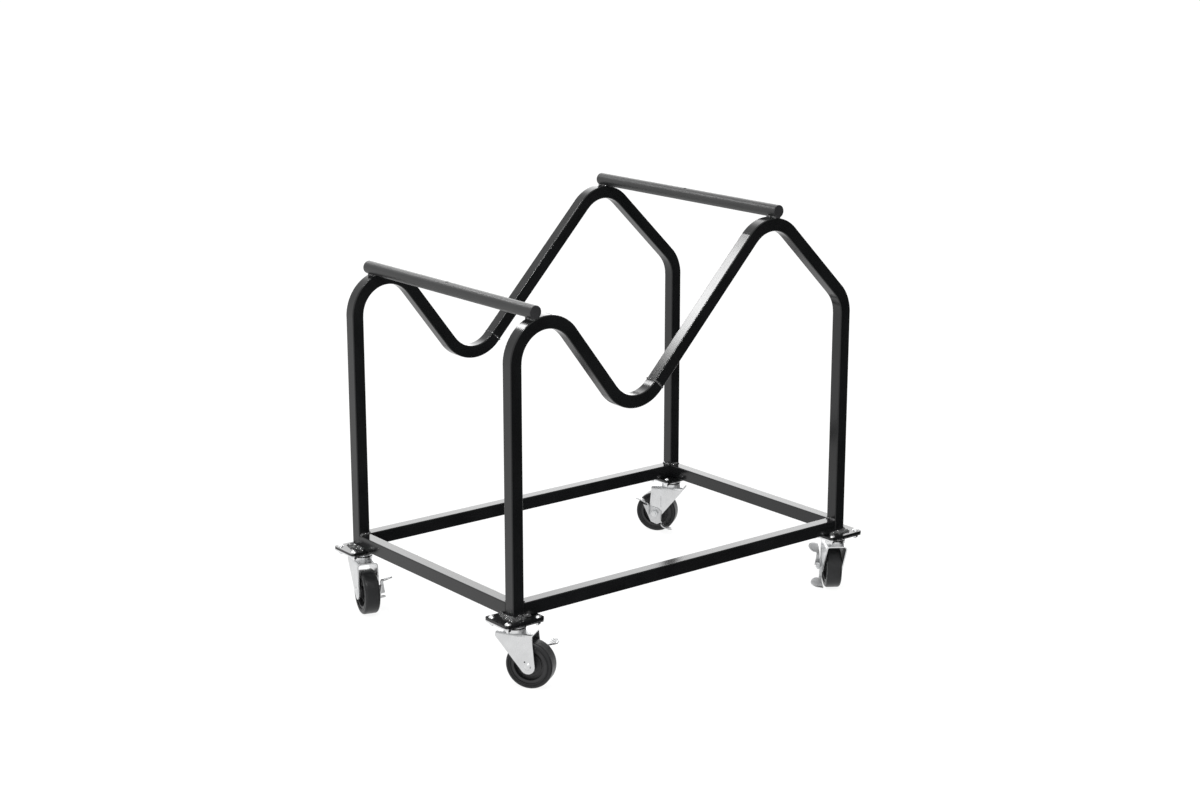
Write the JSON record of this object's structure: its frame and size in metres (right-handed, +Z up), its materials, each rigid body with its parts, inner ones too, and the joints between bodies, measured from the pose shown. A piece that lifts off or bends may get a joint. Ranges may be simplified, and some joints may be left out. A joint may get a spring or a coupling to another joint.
{
  "type": "stacking chair trolley",
  "caption": "Rolling trolley of bent black square tube: humped side frames with a V-shaped rest carry a stack of chairs over a rail base on braked swivel castors.",
  "frame": {"origin": "on the floor under the middle of the base frame", "axes": "+X along the trolley towards its high end, +Y from the front side frame to the rear one, +Z up"},
  "size_m": [0.9128, 0.6583, 0.8261],
  "materials": {
    "black_powder_coat": "semi-gloss black powder coat",
    "black_plastic": "moulded black plastic",
    "zinc_plate": "bright zinc plated pressed steel",
    "brake_zinc": "zinc plated steel with ridged pedals",
    "bright_steel": "bright plated steel",
    "tyre_rubber": "dark grey moulded rubber"
  },
  "bodies": {
    "frame": {"front_low_tube": "black_powder_coat", "front_high_tube": "black_powder_coat", "rear_low_tube": "black_powder_coat", "rear_high_tube": "black_powder_coat", "front_rail": "black_powder_coat", "rear_rail": "black_powder_coat", "low_end_rail": "black_powder_coat", "high_end_rail": "black_powder_coat", "low_cross_bar": "black_powder_coat", "high_cross_bar": "black_powder_coat", "cross_bar_caps": "black_plastic", "weld_beads": "black_powder_coat", "plate_bolts": "bright_steel", "plate_nuts": "bright_steel", "front_left_corner_plate": "black_powder_coat", "front_left_castor_plate": "zinc_plate", "front_left_kingpin": "zinc_plate", "front_left_swivel_balls": "bright_steel", "front_right_corner_plate": "black_powder_coat", "front_right_castor_plate": "zinc_plate", "front_right_kingpin": "zinc_plate", "front_right_swivel_balls": "bright_steel", "rear_left_corner_plate": "black_powder_coat", "rear_left_castor_plate": "zinc_plate", "rear_left_kingpin": "zinc_plate", "rear_left_swivel_balls": "bright_steel", "rear_right_corner_plate": "black_powder_coat", "rear_right_castor_plate": "zinc_plate", "rear_right_kingpin": "zinc_plate", "rear_right_swivel_balls": "bright_steel"},
    "front_left_castor": {"front_left_fork": "zinc_plate", "front_left_axle_bolt": "zinc_plate", "front_left_axle_nut": "zinc_plate"},
    "front_left_wheel": {"front_left_tyre": "tyre_rubber", "front_left_hub": "black_plastic", "front_left_axle_bush": "bright_steel"},
    "front_left_brake": {"front_left_brake_lever": "brake_zinc"},
    "front_right_castor": {"front_right_fork": "zinc_plate", "front_right_axle_bolt": "zinc_plate", "front_right_axle_nut": "zinc_plate"},
    "front_right_wheel": {"front_right_tyre": "tyre_rubber", "front_right_hub": "black_plastic", "front_right_axle_bush": "bright_steel"},
    "front_right_brake": {"front_right_brake_lever": "brake_zinc"},
    "rear_left_castor": {"rear_left_fork": "zinc_plate", "rear_left_axle_bolt": "zinc_plate", "rear_left_axle_nut": "zinc_plate"},
    "rear_left_wheel": {"rear_left_tyre": "tyre_rubber", "rear_left_hub": "black_plastic", "rear_left_axle_bush": "bright_steel"},
    "rear_left_brake": {"rear_left_brake_lever": "brake_zinc"},
    "rear_right_castor": {"rear_right_fork": "zinc_plate", "rear_right_axle_bolt": "zinc_plate", "rear_right_axle_nut": "zinc_plate"},
    "rear_right_wheel": {"rear_right_tyre": "tyre_rubber", "rear_right_hub": "black_plastic", "rear_right_axle_bush": "bright_steel"},
    "rear_right_brake": {"rear_right_brake_lever": "brake_zinc"}
  },
  "joints": [
    {"name": "front_left_swivel", "type": "hinge", "parent": "frame", "child": "front_left_castor", "pos_m": [-0.4075, -0.26, 0.116], "axis": [0, 0, 1], "continuous": true},
    {"name": "front_left_roll", "type": "hinge", "parent": "front_left_castor", "child": "front_left_wheel", "pos_m": [-0.39016, -0.2857, 0.045], "axis": [0.829, 0.5592, 0], "continuous": true},
    {"name": "front_left_brake_rock", "type": "hinge", "parent": "front_left_castor", "child": "front_left_brake", "pos_m": [-0.39016, -0.2857, 0.045], "axis": [0.829, 0.5592, 0], "range_deg": [0, 30]},
    {"name": "front_right_swivel", "type": "hinge", "parent": "frame", "child": "front_right_castor", "pos_m": [0.4075, -0.26, 0.116], "axis": [0, 0, 1], "continuous": true},
    {"name": "front_right_roll", "type": "hinge", "parent": "front_right_castor", "child": "front_right_wheel", "pos_m": [0.42528, -0.23461, 0.045], "axis": [-0.8192, 0.5736, 0], "continuous": true},
    {"name": "front_right_brake_rock", "type": "hinge", "parent": "front_right_castor", "child": "front_right_brake", "pos_m": [0.42528, -0.23461, 0.045], "axis": [-0.8192, 0.5736, 0], "range_deg": [0, 30]},
    {"name": "rear_left_swivel", "type": "hinge", "parent": "frame", "child": "rear_left_castor", "pos_m": [-0.4075, 0.26, 0.116], "axis": [0, 0, 1], "continuous": true},
    {"name": "rear_left_roll", "type": "hinge", "parent": "rear_left_castor", "child": "rear_left_wheel", "pos_m": [-0.41604, 0.2302, 0.045], "axis": [0.9613, -0.2756, 0], "continuous": true},
    {"name": "rear_left_brake_rock", "type": "hinge", "parent": "rear_left_castor", "child": "rear_left_brake", "pos_m": [-0.41604, 0.2302, 0.045], "axis": [0.9613, -0.2756, 0], "range_deg": [0, 30]},
    {"name": "rear_right_swivel", "type": "hinge", "parent": "frame", "child": "rear_right_castor", "pos_m": [0.4075, 0.26, 0.116], "axis": [0, 0, 1], "continuous": true},
    {"name": "rear_right_roll", "type": "hinge", "parent": "rear_right_castor", "child": "rear_right_wheel", "pos_m": [0.38928, 0.28508, 0.045], "axis": [-0.809, -0.5878, 0], "continuous": true},
    {"name": "rear_right_brake_rock", "type": "hinge", "parent": "rear_right_castor", "child": "rear_right_brake", "pos_m": [0.38928, 0.28508, 0.045], "axis": [-0.809, -0.5878, 0], "range_deg": [0, 30]}
  ]
}
